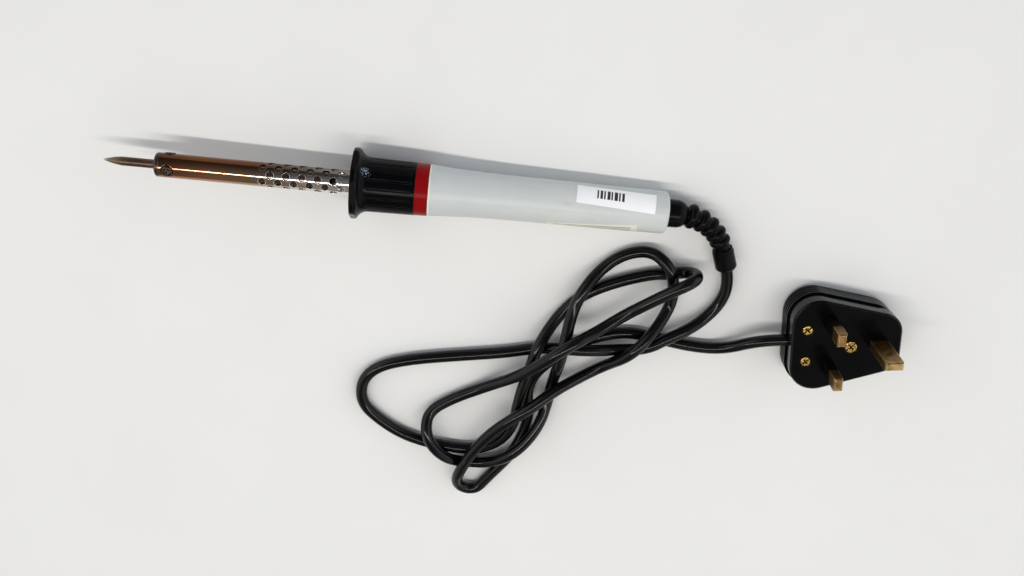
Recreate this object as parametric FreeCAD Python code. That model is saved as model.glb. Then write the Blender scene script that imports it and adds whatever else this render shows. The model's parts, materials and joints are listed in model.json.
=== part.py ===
"""Mains soldering iron for stained glass work, with its lead and a fused three-pin plug.

Frame: millimetres, +X along the iron from handle to bit, +Z up, the bench at Z = 0.
The origin is at the middle of the iron's own bounding box, on the bench.
The iron is modelled along its own axis first: s runs from the handle's rear end to the
tip, and r is the radius. It is then laid on the bench, where it rests on the rim of its
front flange and on the rear rim of its handle.
"""
import FreeCAD
import Part
import math
import os

V = FreeCAD.Vector

# ---- driving dimensions, millimetres ----
TIP_S = 246.3                 # whole length, handle end to tip
BARREL_R = 5.3
BARREL_WALL = 0.5
BARREL_FRONT_S = 222.0
BARREL_REAR_S = 93.4
BIT_R = 1.95
BIT_REAR_S = 176.6
BIT_CONE_S = 238.5
BORE_CLEARANCE = 0.08         # radial, between the bit and what guides it
FORMER_REAR_S = 158.6
FORMER_R = 2.9
WINDING_START_S = 161.6
WINDING_PITCH = 1.7
WINDING_TURNS = 28
WINDING_ROOT_R = 3.15
WINDING_R = 3.6
MICA_R = 4.6
MICA_WALL = 0.3
NOSE_FRONT_S = 224.0
NOSE_REAR_S = 213.5

CLAMP_SCREW_S = 218.1
CLAMP_SCREW_ANGLES = (-13.7, 106.3, 226.3)   # degrees from +Z towards -Y
CLAMP_HEAD_R = 2.4
CLAMP_THREAD_R = 1.25
CLAMP_HEAD_TOP = 5.65
CLAMP_HEAD_SEAT = 4.05
CLAMP_RECESS_R = 2.75

VENT_R = 1.65
VENT_PITCH = 6.8
VENT_FRONT_S = 177.7
VENT_ROWS = 10
VENT_FIRST_ANGLE = 16.4       # a five-hole row, degrees from +Z towards -Y

FLANGE_FRONT_S = 139.2
FLANGE_R = 15.7               # at the flange's six rounded corners
FLANGE_FLAT_R = 14.8          # at the middle of its six flats, one of which lies on the bench
FLANGE_FLAT_DEPTH = 3.0       # from the front to where the middle of a flat ends
FLANGE_CORNER_DEPTH = 2.0
COLLAR_FRONT_S = 131.4
COLLAR_REAR_S = 111.7
COLLAR_FRONT_R = 11.95
COLLAR_REAR_R = 11.65
COLLAR_RIBS = 18
RIB_FIRST_ANGLE = 8.0
GROOVE_HALF = 0.42
GROOVE_DEPTH = 0.55
COLLAR_BORE_R = BARREL_R + 0.12
FLANGE_SCREW_ANGLES = (0, 120, 240)
FLANGE_SCREW_R = 6.95
SPIGOT_R = 8.5
SPIGOT_REAR_S = 94.6

RING_FRONT_R = 11.5
RING_REAR_S = 106.1
RING_REAR_R = 11.4
HANDLE_FRONT_S = 106.0
HANDLE_FRONT_R = 11.35
HANDLE_WAIST = (74.0, 9.95)   # station and radius where the flare meets the taper
HANDLE_BELLY = (40.0, 9.72)
HANDLE_REAR_R = 9.45
HANDLE_ROUND = 1.5
HANDLE_WALL = 2.0
FIT_GAP = 0.1                 # radial, round parts that are dropped in and screwed down

# labels: centre's station, length, width, angle from +Z towards -Y, skew in degrees
ASSET_LABEL = (24.0, 35.0, 8.9, 44.6, -2.9)
RATING_LABEL = (32.8, 39.8, 11.2, -73.5, 4.3)
LABEL_FILM = 0.12
LABEL_GAP = 0.02

TERMINAL_YS = (-4.2, 0.0, 4.2)
LEAD_Y = 2.2
LEAD_R = 0.85
SADDLE_SCREW_Y = 4.4
CORE_R = 0.55

CORD_D = 5.6
CORD_BORE_R = 2.9
RELIEF_CORNER_S = -22.8       # where the relief's two straight ends would meet
RELIEF_ARC_R = 24.5
CORD_START = V(-155.5, 24.7, 6.0)
RELIEF_RINGS = [              # distance from the handle's end, outer radius, half thickness
    (11.8, 5.7, 2.15), (17.0, 5.35, 2.0), (21.9, 5.1, 1.9), (26.5, 4.95, 1.8), (30.6, 4.85, 1.75)]
CUFF_R = 4.9
CUFF_LENGTH = 9.4

PLUG_AT = V(-206.6, 52.2, 0.0)   # midpoint between live and neutral pins
PLUG_YAW = -171.3
PLUG_FACE_Z = 19.0
PLUG_SPLIT_Z = 12.0
PLUG_CABLE_END = -17.6
PLUG_EARTH_END = 32.6
PLUG_HALF_CABLE = 26.3        # half widths before the corners are rounded
PLUG_HALF_EARTH = 13.0
PLUG_WALL = 2.0
PLUG_EARTH_CORNER_R = 10.0
COVER_EARTH_CORNER_R = 15.0
PIN_HALF_SPACING = 11.1
EARTH_PIN_X = 22.2
PIN_LENGTH = 17.7
EARTH_PIN_LENGTH = 22.7
SLEEVE_LENGTH = 9.2
GRIP_X = -10.5
GRIP_HALF = 8.0
COVER_SCREW = (9.8, -1.2)
FUSE_X = 2.7
FUSE_Y = 6.3
FUSE_Z = 6.9
FUSE_R = 3.15
SHEATH_END_X = -7.6
CORD_PLUG_Z = 11.5

# Control points of the free lead, from the relief's cuff to the plug. Where it crosses
# itself the upper strand rides over the lower one in a low hump.
ROUTE = [
    CORD_START, V(-158.2, 32.7, 5.2), V(-156.5, 44, 3.4), V(-149.5, 53, 4.5), V(-142, 57.5, 8),
    V(-134, 62, 9.2), V(-125, 68.5, 9.2), V(-114, 72.5, 4), V(-98, 72.8, 9), V(-85.5, 73, 9),
    V(-74.5, 76.5, 3.2), V(-60, 80.8, 3.2), V(-38, 85, 3.2), V(-14, 89.8, 3.2), V(2, 95.5, 3.2),
    V(9.5, 104.5, 3.2), V(9, 117, 3.2), V(-1, 126, 3.2), V(-14, 133.3, 3.2), V(-31, 137, 3.2),
    V(-49.5, 137.5, 3.2), V(-61, 130.5, 4.5), V(-67, 117.5, 9), V(-68, 102, 9),
    V(-71.5, 84, 9.6), V(-74, 72, 9.6), V(-81.5, 59, 3.2), V(-91, 47, 3.2), V(-106, 38.5, 3.2),
    V(-122, 32.6, 3.2), V(-130.5, 31.5, 3.2), V(-137.9, 29.8, 3.2), V(-141.9, 28.3, 7.3),
    V(-141.9, 28.3, 13.2), V(-137.9, 29.9, 17.3), V(-131, 34.5, 16.9), V(-120.5, 43.3, 14.2),
    V(-111, 52, 11), V(-99, 60.5, 14.5), V(-89, 64.5, 20.7), V(-79, 73.5, 20.7), V(-67, 87, 14),
    V(-53, 99.5, 4), V(-36, 109, 3.2), V(-24.5, 117.5, 4), V(-24, 126.5, 9), V(-28.5, 135, 9.6),
    V(-36.5, 142, 7.6), V(-46.5, 145, 3.2), V(-56, 143.5, 4.6), V(-65, 137, 9.2),
    V(-73.5, 128, 9.2), V(-80, 116, 7.4), V(-82.5, 104, 3.6), V(-83.5, 92, 5),
    V(-84.5, 79, 14.9), V(-86, 66, 14.9), V(-87.5, 54, 9.5), V(-91, 42, 9.2),
    V(-98.5, 32.5, 3.6), V(-108, 24, 3.2), V(-120, 20.5, 4), V(-128.5, 25, 9.2),
    V(-132.3, 33, 9.2), V(-134, 45, 4), V(-129.5, 55, 8), V(-123, 63.5, 13), V(-116, 72, 13),
    V(-107, 81.5, 5), V(-97, 88, 6), V(-84, 95.2, 11.2), V(-74, 104, 14.7),
    V(-63.5, 112.5, 14.7), V(-54.5, 123.5, 12), V(-47.5, 136, 10), V(-43.2, 145, 11.2),
    V(-41.4, 153.4, 7.2), V(-43, 158.6, 4.4), V(-47.6, 161.2, 3.3), V(-52.6, 160, 3.2),
    V(-55.9, 155, 3.2), V(-60.5, 148.3, 3.2), V(-66.5, 140, 3.2), V(-71.5, 129, 3.2),
    V(-74.5, 115, 3.2), V(-71.5, 101, 3.2), V(-74, 91, 3.2), V(-82, 81.5, 3.2),
    V(-95, 70.5, 3.2), V(-113, 63, 3.2), V(-130, 65, 3.2), V(-148, 67.5, 3.2), V(-163, 66.5, 4),
    V(-176.4, 56.8, 11.2), V(-187.7, 55.1, CORD_PLUG_Z),
]



# ---- where the iron lies ----
def resting_pitch():
    """Angle of the iron's axis when the flange's flat and the rear rim both touch the bench."""
    run = FLANGE_FRONT_S - FLANGE_FLAT_DEPTH - HANDLE_ROUND
    rise = FLANGE_FLAT_R - (HANDLE_REAR_R - HANDLE_ROUND)
    return math.atan2(rise, run) - math.asin(HANDLE_ROUND / math.hypot(run, rise))


PITCH = resting_pitch()
REAR_Z = (HANDLE_ROUND + (HANDLE_REAR_R - HANDLE_ROUND) * math.cos(PITCH)
          - HANDLE_ROUND * math.sin(PITCH))
REAR_MIN_X = (HANDLE_ROUND * math.cos(PITCH) - HANDLE_ROUND
              - (HANDLE_REAR_R - HANDLE_ROUND) * math.sin(PITCH))
REAR_X = -(TIP_S * math.cos(PITCH) + REAR_MIN_X) / 2


def lay_iron(shape):
    """Move a shape from the iron's own axis to its place on the bench."""
    placed = shape.copy()
    placed.rotate(V(0, 0, 0), V(0, 1, 0), -math.degrees(PITCH))
    placed.translate(V(REAR_X, 0, REAR_Z))
    return placed


def iron_point(s, y=0.0, n=0.0):
    """A point of the iron's own axis frame, in the row frame."""
    x = REAR_X + s * math.cos(PITCH) - n * math.sin(PITCH)
    z = REAR_Z + s * math.sin(PITCH) + n * math.cos(PITCH)
    return V(x, y, z)


def lay_plug(shape):
    placed = shape.copy()
    placed.rotate(V(0, 0, 0), V(0, 0, 1), PLUG_YAW)
    placed.translate(PLUG_AT)
    return placed


# ---- shape helpers ----
def turned(profile):
    """Solid of revolution about the iron's axis from (s, r) corners."""
    points = [V(s, 0, r) for s, r in profile]
    face = Part.Face(Part.makePolygon(points + [points[0]]))
    return face.revolve(V(0, 0, 0), V(1, 0, 0), 360)


def tube_along(s0, s1, outer, inner):
    return turned([(s0, inner), (s1, inner), (s1, outer), (s0, outer)])


def rod(start, end, radius):
    along = end - start
    return Part.makeCylinder(radius, along.Length, start, along)


def radial(angle, distance):
    """Point at a distance from the axis, at an angle from +Z towards -Y."""
    turn = math.radians(angle)
    return V(0, -distance * math.sin(turn), distance * math.cos(turn))


def radial_rod(s, angle, inner, outer, radius):
    start = radial(angle, inner) + V(s, 0, 0)
    return Part.makeCylinder(radius, outer - inner, start, radial(angle, 1))


def group(shapes):
    return Part.makeCompound(shapes)


def cut_all(shape, tools):
    return shape.cut(Part.makeCompound(tools))


def box(x0, x1, y0, y1, z0, z1):
    return Part.makeBox(x1 - x0, y1 - y0, z1 - z0, V(x0, y0, z0))


def bent_path(points, radii=None):
    """Wire of straight runs joined by tangent arcs; returns it with the arc radii."""
    edges = []
    used = []
    start = points[0]
    for i in range(1, len(points) - 1):
        before = points[i] - points[i - 1]
        after = points[i + 1] - points[i]
        reach = 0.45 * min(before.Length, after.Length)
        before.normalize()
        after.normalize()
        half = before.getAngle(after) / 2
        radius = reach / math.tan(half)
        if radii:
            radius = radii[i - 1]
            reach = radius * math.tan(half)
        inner = after - before
        inner.normalize()
        first = points[i] - before * reach
        last = points[i] + after * reach
        middle = points[i] + inner * (radius / math.cos(half) - radius)
        edges.append(Part.LineSegment(start, first).toShape())
        edges.append(Part.Arc(first, middle, last).toShape())
        used.append(radius)
        start = last
    edges.append(Part.LineSegment(start, points[-1]).toShape())
    return Part.Wire(edges), used


def pipe(path, radius):
    edge = path.Edges[0]
    start = edge.valueAt(edge.FirstParameter)
    heading = edge.tangentAt(edge.FirstParameter)
    circle = Part.Wire(Part.makeCircle(radius, start, heading))
    return path.makePipeShell([circle], True, False)


def point_along(path, distance):
    """Point and direction at a distance along a path."""
    left = distance
    for edge in path.Edges:
        if left <= edge.Length:
            break
        left -= edge.Length
    at = edge.getParameterByLength(min(left, edge.Length))
    return edge.valueAt(at), edge.tangentAt(at)


# ---- bit, nose and barrel ----
def soldering_bit():
    """Round bit with a slightly bellied point that ends in a tiny blunt flat."""
    chamfer = 0.3
    blunt_r = 0.3
    flat_r = 0.12
    point_s = TIP_S - 0.16
    shank = [V(TIP_S, 0, flat_r), V(TIP_S, 0, 0), V(BIT_REAR_S, 0, 0),
             V(BIT_REAR_S, 0, BIT_R - chamfer), V(BIT_REAR_S + chamfer, 0, BIT_R),
             V(BIT_CONE_S, 0, BIT_R)]
    flank = Part.Arc(V(BIT_CONE_S, 0, BIT_R), V(BIT_CONE_S + 4.4, 0, 1.2), V(point_s, 0, blunt_r))
    edges = [flank.toShape(), Part.LineSegment(V(point_s, 0, blunt_r), shank[0]).toShape()]
    edges += Part.makePolygon(shank).Edges
    return Part.Face(Part.Wire(edges)).revolve(V(0, 0, 0), V(1, 0, 0), 360)


def barrel_nose():
    """Steel bush that guides the bit, its rolled rim standing over the barrel's end."""
    bore = BIT_R + BORE_CLEARANCE
    inside = BARREL_R - BARREL_WALL - 0.02
    body = turned([(NOSE_REAR_S, bore), (NOSE_FRONT_S, bore), (NOSE_FRONT_S, 4.3),
                   (NOSE_FRONT_S - 0.3, 4.9), (NOSE_FRONT_S - 0.9, 5.25),
                   (BARREL_FRONT_S, 5.25), (BARREL_FRONT_S, inside), (NOSE_REAR_S, inside)])
    tools = []
    for angle in CLAMP_SCREW_ANGLES:
        tools.append(radial_rod(CLAMP_SCREW_S, angle, 0.5, 6, CLAMP_THREAD_R + FIT_GAP))
        tools.append(radial_rod(CLAMP_SCREW_S, angle, CLAMP_HEAD_SEAT - FIT_GAP, 6, CLAMP_RECESS_R))
    return cut_all(body, tools)


def clamp_screw(angle):
    """Cross-slotted screw, modelled upright and turned to its place round the nose."""
    tip = BIT_R + 0.06
    shank = Part.makeCylinder(CLAMP_THREAD_R, CLAMP_HEAD_SEAT - tip, V(0, 0, tip))
    head = Part.makeCylinder(CLAMP_HEAD_R, CLAMP_HEAD_TOP - CLAMP_HEAD_SEAT,
                             V(0, 0, CLAMP_HEAD_SEAT))
    head = head.makeFillet(0.6, [head.Edges[0]])
    screw = shank.fuse(head)
    slot = box(-1.6, 1.6, -0.3, 0.3, CLAMP_HEAD_TOP - 0.8, CLAMP_HEAD_TOP + 1)
    cross = slot.fuse(box(-0.3, 0.3, -1.6, 1.6, CLAMP_HEAD_TOP - 0.8, CLAMP_HEAD_TOP + 1))
    screw = screw.cut(cross)
    screw.rotate(V(0, 0, 0), V(1, 0, 0), angle)
    screw.translate(V(CLAMP_SCREW_S, 0, 0))
    return screw


def vent_stations(row):
    """Six holes in one row and five between them in the next."""
    if row % 2:
        return [VENT_FRONT_S - VENT_PITCH * i for i in range(6)]
    return [VENT_FRONT_S - VENT_PITCH * (i + 0.5) for i in range(5)]


def barrel():
    body = tube_along(BARREL_REAR_S, BARREL_FRONT_S, BARREL_R, BARREL_R - BARREL_WALL)
    tools = []
    for row in range(VENT_ROWS):
        angle = VENT_FIRST_ANGLE + row * 360 / VENT_ROWS
        for s in vent_stations(row):
            tools.append(radial_rod(s, angle, 3, 7, VENT_R))
    for angle in CLAMP_SCREW_ANGLES:
        tools.append(radial_rod(CLAMP_SCREW_S, angle, 3, 7, CLAMP_RECESS_R))
    return cut_all(body, tools)


def heater_former():
    return tube_along(FORMER_REAR_S, NOSE_REAR_S - 1, FORMER_R, BIT_R + BORE_CLEARANCE)


def heater_winding():
    """Resistance wire wound on the former, as one ribbed sleeve."""
    inside = FORMER_R + 0.02
    profile = [(WINDING_START_S, inside)]
    for i in range(WINDING_TURNS):
        s = WINDING_START_S + i * WINDING_PITCH
        profile += [(s, WINDING_ROOT_R), (s + 0.4, WINDING_R),
                    (s + 1.1, WINDING_R), (s + 1.5, WINDING_ROOT_R)]
    end = WINDING_START_S + WINDING_TURNS * WINDING_PITCH
    profile += [(end, WINDING_ROOT_R), (end, inside)]
    return turned(profile)


def mica_sleeve():
    return tube_along(FORMER_REAR_S - 10, NOSE_REAR_S - 2, MICA_R, MICA_R - MICA_WALL)


def rear_insulator():
    """Ceramic plug in the barrel's rear end, bored for the two heater leads."""
    body = rod(V(116.6, 0, 0), V(124.6, 0, 0), 4.7)
    return cut_all(body, [rod(V(110, y, 0), V(130, y, 0), LEAD_R + FIT_GAP) for y in (-LEAD_Y, LEAD_Y)])


# ---- front collar, ring and handle ----
def collar_blank():
    """Flange with a concave back, running into a collar that tapers to the rear."""
    bore = COLLAR_BORE_R
    edge = 0.3
    front = FLANGE_FRONT_S
    flat_end = V(front - FLANGE_FLAT_DEPTH, 0, FLANGE_FLAT_R)
    collar_start = V(COLLAR_FRONT_S, 0, COLLAR_FRONT_R)
    corners = [V(COLLAR_REAR_S, 0, bore), V(front - 0.8, 0, bore), V(front, 0, bore + 0.8),
               V(front, 0, FLANGE_R - edge), V(front - edge, 0, FLANGE_R),
               V(front - FLANGE_CORNER_DEPTH, 0, FLANGE_R), flat_end]
    hollow = Part.Arc(flat_end, V(front - 4.7, 0, 12.85), collar_start)
    last = [collar_start, V(COLLAR_REAR_S, 0, COLLAR_REAR_R), V(COLLAR_REAR_S, 0, bore)]
    edges = Part.makePolygon(corners).Edges + [hollow.toShape()] + Part.makePolygon(last).Edges
    return Part.Face(Part.Wire(edges)).revolve(V(0, 0, 0), V(1, 0, 0), 360)


def flange_flats():
    """Hexagonal bar that trims the flange's round edge, lying on one flat."""
    corner_r = FLANGE_FLAT_R / math.cos(math.radians(30))
    corners = [V(COLLAR_REAR_S - 1, 0, 0) + radial(30 + 60 * i, corner_r) for i in range(6)]
    outline = Part.Face(Part.makePolygon(corners + [corners[0]]))
    return outline.extrude(V(FLANGE_FRONT_S + 2 - COLLAR_REAR_S, 0, 0))


def front_collar():
    body = collar_blank().common(flange_flats())
    spigot = tube_along(SPIGOT_REAR_S, COLLAR_REAR_S, SPIGOT_R, COLLAR_BORE_R)
    body = body.fuse(spigot)
    tools = []
    for i in range(COLLAR_RIBS):
        groove = box(COLLAR_REAR_S + 1.5, COLLAR_FRONT_S + 0.8, -GROOVE_HALF, GROOVE_HALF,
                     COLLAR_REAR_R - GROOVE_DEPTH, FLANGE_R)
        groove.rotate(V(0, 0, 0), V(1, 0, 0), RIB_FIRST_ANGLE + i * 360 / COLLAR_RIBS)
        tools.append(groove)
    for angle in FLANGE_SCREW_ANGLES:
        start = radial(angle, FLANGE_SCREW_R) + V(SPIGOT_REAR_S - 1, 0, 0)
        tools.append(Part.makeCylinder(0.85, 9, start, V(1, 0, 0)))
    return cut_all(body, tools)


def barrel_flange():
    """Steel disc on the barrel's rear end, screwed to the collar's spigot."""
    disc = tube_along(BARREL_REAR_S, SPIGOT_REAR_S, 8.3, BARREL_R + 0.02)
    holes = [Part.makeCylinder(1.05, 4, radial(a, FLANGE_SCREW_R) + V(BARREL_REAR_S - 1, 0, 0), V(1, 0, 0))
             for a in FLANGE_SCREW_ANGLES]
    return cut_all(disc, holes)


def flange_screws():
    screws = []
    for angle in FLANGE_SCREW_ANGLES:
        centre = radial(angle, FLANGE_SCREW_R)
        head = Part.makeCylinder(1.3, 1.0, centre + V(BARREL_REAR_S - 1.0, 0, 0), V(1, 0, 0))
        shank = Part.makeCylinder(0.8, 8.0, centre + V(BARREL_REAR_S - 0.2, 0, 0), V(1, 0, 0))
        slot = box(BARREL_REAR_S - 2, BARREL_REAR_S - 0.6, -2, 2, -0.2, 0.2)
        slot.translate(centre)
        screws.append(head.fuse(shank).cut(slot))
    return group(screws)


def red_ring():
    return turned([(RING_REAR_S, SPIGOT_R + FIT_GAP), (COLLAR_REAR_S, SPIGOT_R + FIT_GAP),
                   (COLLAR_REAR_S, RING_FRONT_R), (RING_REAR_S, RING_REAR_R)])


def handle_shell():
    """Moulded grip: a flare at the front, a slow taper and a rounded rear rim."""
    front = HANDLE_FRONT_S
    waist_s, waist_r = HANDLE_WAIST
    belly_s, belly_r = HANDLE_BELLY
    gland_hole = 5.3
    bore = SPIGOT_R + FIT_GAP
    lip = V(front - 0.3, 0, HANDLE_FRONT_R)
    waist = V(waist_s, 0, waist_r)
    rear = V(HANDLE_ROUND, 0, HANDLE_REAR_R)
    flare = Part.Arc(lip, V(90.5, 0, 10.42), waist)
    rim = Part.Arc(rear, V(0.44, 0, HANDLE_REAR_R - 0.44), V(0, 0, HANDLE_REAR_R - HANDLE_ROUND))
    inside = [V(0, 0, HANDLE_REAR_R - HANDLE_ROUND), V(0, 0, gland_hole), V(3, 0, gland_hole),
              V(3, 0, HANDLE_REAR_R - HANDLE_WALL), V(waist_s, 0, 8.0), V(86, 0, bore),
              V(front, 0, bore), V(front, 0, HANDLE_FRONT_R - 0.3), lip]
    edges = [flare.toShape()]
    edges += Part.makePolygon([waist, V(belly_s, 0, belly_r), rear]).Edges
    edges.append(rim.toShape())
    edges += Part.makePolygon(inside).Edges
    return Part.Face(Part.Wire(edges)).revolve(V(0, 0, 0), V(1, 0, 0), 360)


def sticker(centre_s, length, width, centre_angle, skew):
    """Label wrapped on the grip, stuck on a little askew and standing proud by its film."""
    outline = [(HANDLE_ROUND, HANDLE_REAR_R), (HANDLE_BELLY[0], HANDLE_BELLY[1]),
               (HANDLE_WAIST[0], HANDLE_WAIST[1])]
    inner = [(s, r + LABEL_GAP) for s, r in outline]
    outer = [(s, r + LABEL_GAP + LABEL_FILM) for s, r in reversed(outline)]
    skin = turned(inner + outer)
    stamp = box(-length / 2, length / 2, -width / 2, width / 2, 4, 14)
    stamp.rotate(V(0, 0, 0), V(0, 0, 1), skew)
    stamp.rotate(V(0, 0, 0), V(1, 0, 0), centre_angle)
    stamp.translate(V(centre_s, 0, 0))
    return skin.common(stamp)


# ---- inside the handle ----
def terminal_block():
    body = box(58, 74, -6.5, 6.5, -3.6, 3.6)
    tools = []
    for y in TERMINAL_YS:
        tools.append(rod(V(56, y, 0), V(76, y, 0), 1.1))
        for s in (62, 70):
            tools.append(rod(V(s, y, 0.5), V(s, y, 5), 1.35))
    return cut_all(body, tools)


def terminal_screws():
    screws = []
    for y in TERMINAL_YS:
        for s in (62, 70):
            screw = rod(V(s, y, 1.15), V(s, y, 3.5), 1.2)
            screws.append(screw.cut(box(s - 2, s + 2, y - 0.2, y + 0.2, 3.0, 4)))
    return group(screws)


def wire(points, radius):
    """Straight lengths of wire with a ball at each bend."""
    shape = rod(points[0], points[1], radius)
    for start, end in zip(points[1:], points[2:]):
        shape = shape.fuse(Part.makeSphere(radius, start)).fuse(rod(start, end, radius))
    return shape


def heater_leads():
    leads = []
    for side in (-1, 1):
        block_y = side * TERMINAL_YS[2]
        bore_y = side * LEAD_Y
        leads.append(wire([V(67, block_y, 0), V(76.5, block_y, 0), V(91.6, bore_y, 0),
                           V(158.4, bore_y, 0)], LEAD_R))
    return group(leads)


def earth_lead():
    return wire([V(67, 0, 0), V(90.1, 0, 0), V(92.8, 0, -6.4)], 0.5)


def cord_clamp():
    """Two-piece saddle that holds the sheath against pulling."""
    lower = box(30, 37, -6.0, 6.0, -3.9, -0.4)
    upper = box(30, 37, -6.0, 6.0, 0.4, 3.9)
    hole = rod(V(25, 0, 0), V(40, 0, 0), CORD_BORE_R - 0.05)
    holes = [rod(V(33.5, y, -6), V(33.5, y, 6), 1.05) for y in (-SADDLE_SCREW_Y, SADDLE_SCREW_Y)]
    return group([cut_all(lower, [hole] + holes), cut_all(upper, [hole] + holes)])


def cord_clamp_screws():
    screws = []
    for y in (-SADDLE_SCREW_Y, SADDLE_SCREW_Y):
        shank = rod(V(33.5, y, -3.8), V(33.5, y, 4.0), 0.95)
        head = rod(V(33.5, y, 3.95), V(33.5, y, 4.65), 1.4)
        slot = box(31, 36, y - 0.2, y + 0.2, 4.3, 6)
        screws.append(shank.fuse(head).cut(slot))
    return group(screws)


def relief_path():
    """Centre line from inside the handle, straight out and round to the cuff's end."""
    points = [iron_point(3), iron_point(RELIEF_CORNER_S), CORD_START]
    path, _ = bent_path(points, [RELIEF_ARC_R])
    return path


def strain_relief(path):
    """Rubber boot: domed gland, five fat rings that shrink, a stepped cuff."""
    inside = 3.0
    neck = 5.2
    core = 3.7
    at, heading = point_along(path, 0)
    body = pipe(path, core).fuse(Part.makeCylinder(neck, inside, at, heading))
    body = body.fuse(gland(path, inside + 0.05))
    for distance, outer, half in RELIEF_RINGS:
        at, heading = point_along(path, inside + distance)
        body = body.fuse(Part.makeTorus(outer - half, half, at, heading))
    body = body.fuse(cuff(path))
    end = path.Vertexes[-1].Point
    _, heading = point_along(path, path.Length)
    return body.cut(pipe(path, CORD_BORE_R)).cut(rod(end - heading, end + heading, CORD_BORE_R))


def gland(path, start):
    """Domed collar of the boot, straight along the iron's axis behind the handle."""
    at, heading = point_along(path, start)
    profile = [V(0, 0, 0), V(0, 0, 6.3), V(4.4, 0, 6.25)]
    dome = Part.Arc(V(4.4, 0, 6.25), V(7.6, 0, 5.35), V(9.3, 0, 3.8))
    edges = Part.makePolygon(profile).Edges + [dome.toShape()]
    edges += Part.makePolygon([V(9.3, 0, 3.8), V(9.3, 0, 0), V(0, 0, 0)]).Edges
    shape = Part.Face(Part.Wire(edges)).revolve(V(0, 0, 0), V(1, 0, 0), 360)
    shape.Placement = FreeCAD.Placement(at, FreeCAD.Rotation(V(1, 0, 0), heading))
    return shape


def cuff(path):
    """End of the boot: a cylinder with a step at its start and a bevel at its end."""
    end = path.Vertexes[-1].Point
    _, heading = point_along(path, path.Length)
    body = Part.makeCylinder(CUFF_R, CUFF_LENGTH - 1.2, end - heading * CUFF_LENGTH, heading)
    bevel = Part.makeCone(CUFF_R, CUFF_R - 0.8, 1.2, end - heading * 1.2, heading)
    at, direction = point_along(path, path.Length - CUFF_LENGTH - 1.3)
    step = Part.makeCylinder(CUFF_R - 0.35, 2.6, at, direction)
    return body.fuse(bevel).fuse(step)


def cord_inner(path):
    """The sheath inside the boot and the handle, up to where the cores leave it."""
    inside = rod(iron_point(46), iron_point(3), CORD_D / 2)
    return inside.fuse(pipe(path, CORD_D / 2))


def core_wires():
    wires = [rod(V(46.3, 0, 0), V(65, 0, 0), CORE_R)]
    for y, block_y in ((-1.2, TERMINAL_YS[0]), (1.2, TERMINAL_YS[2])):
        wires.append(wire([V(46.3, y, 0), V(56.5, block_y, 0), V(65, block_y, 0)], CORE_R))
    return group(wires)


# ---- plug ----
def plug_outline(grow, z, earth_corner=PLUG_EARTH_CORNER_R):
    """Rounded tapering outline: wide at the lead's end, narrow at the earth pin's."""
    x0 = PLUG_CABLE_END
    x1 = PLUG_EARTH_END
    corners = [V(x0, -PLUG_HALF_CABLE, z), V(x1, -PLUG_HALF_EARTH, z),
               V(x1, PLUG_HALF_EARTH, z), V(x0, PLUG_HALF_CABLE, z)]
    radii = [12.0, earth_corner, earth_corner, 12.0]
    edges = []
    starts = []
    for i, corner in enumerate(corners):
        back = corners[i - 1] - corner
        ahead = corners[(i + 1) % 4] - corner
        back.normalize()
        ahead.normalize()
        half = back.getAngle(ahead) / 2
        reach = radii[i] / math.tan(half)
        inward = back + ahead
        inward.normalize()
        middle = corner + inward * (radii[i] / math.sin(half) - radii[i])
        starts.append((corner + back * reach, middle, corner + ahead * reach))
    for i in range(4):
        first, middle, last = starts[i]
        edges.append(Part.Arc(first, middle, last).toShape())
        edges.append(Part.LineSegment(last, starts[(i + 1) % 4][0]).toShape())
    wire = Part.Wire(edges)
    if grow:
        wire = wire.makeOffset2D(grow)
    return wire


def plug_slab(grow, z0, z1):
    return Part.Face(plug_outline(grow, z0)).extrude(V(0, 0, z1 - z0))


def plug_entry():
    """Hole for the lead through the plug's cable end."""
    return rod(V(-24, 0, CORD_PLUG_Z), V(-13.8, 0, CORD_PLUG_Z), CORD_BORE_R)


def pin_box(x, y, half_x, half_y, z0, z1):
    return box(x - half_x, x + half_x, y - half_y, y + half_y, z0, z1)


def plug_base():
    body = plug_slab(0, PLUG_SPLIT_Z, PLUG_FACE_Z - 0.8)
    top = Part.makeLoft([plug_outline(0, PLUG_FACE_Z - 0.8), plug_outline(-0.8, PLUG_FACE_Z)], True)
    body = body.fuse(top)
    hollow = plug_slab(-PLUG_WALL, PLUG_SPLIT_Z - 1, PLUG_FACE_Z - 2.6)
    body = body.cut(hollow)
    for x, y in ((0, PIN_HALF_SPACING), (0, -PIN_HALF_SPACING)):
        body = body.fuse(pin_box(x, y, 3.6, 4.6, PLUG_SPLIT_Z, PLUG_FACE_Z - 2.5))
    body = body.fuse(pin_box(EARTH_PIN_X, 0, 5.4, 3.6, PLUG_SPLIT_Z, PLUG_FACE_Z - 2.5))
    screw_x, screw_y = COVER_SCREW
    body = body.fuse(rod(V(screw_x, screw_y, PLUG_SPLIT_Z), V(screw_x, screw_y, PLUG_FACE_Z - 2.5), 4.0))
    for y in (-GRIP_HALF, GRIP_HALF):
        body = body.fuse(rod(V(GRIP_X, y, PLUG_SPLIT_Z), V(GRIP_X, y, PLUG_FACE_Z - 2.5), 3.3))
    tools = [plug_entry()]
    for y in (PIN_HALF_SPACING, -PIN_HALF_SPACING):
        tools.append(pin_box(0, y, 2.05, 3.22, 5, 25))
    tools.append(pin_box(EARTH_PIN_X, 0, 4.05, 2.05, 5, 25))
    tools += screw_tools(screw_x, screw_y, 1.75, 3.1)
    for y in (-GRIP_HALF, GRIP_HALF):
        tools += screw_tools(GRIP_X, y, 1.45, 2.6)
    return cut_all(body, tools)


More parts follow.
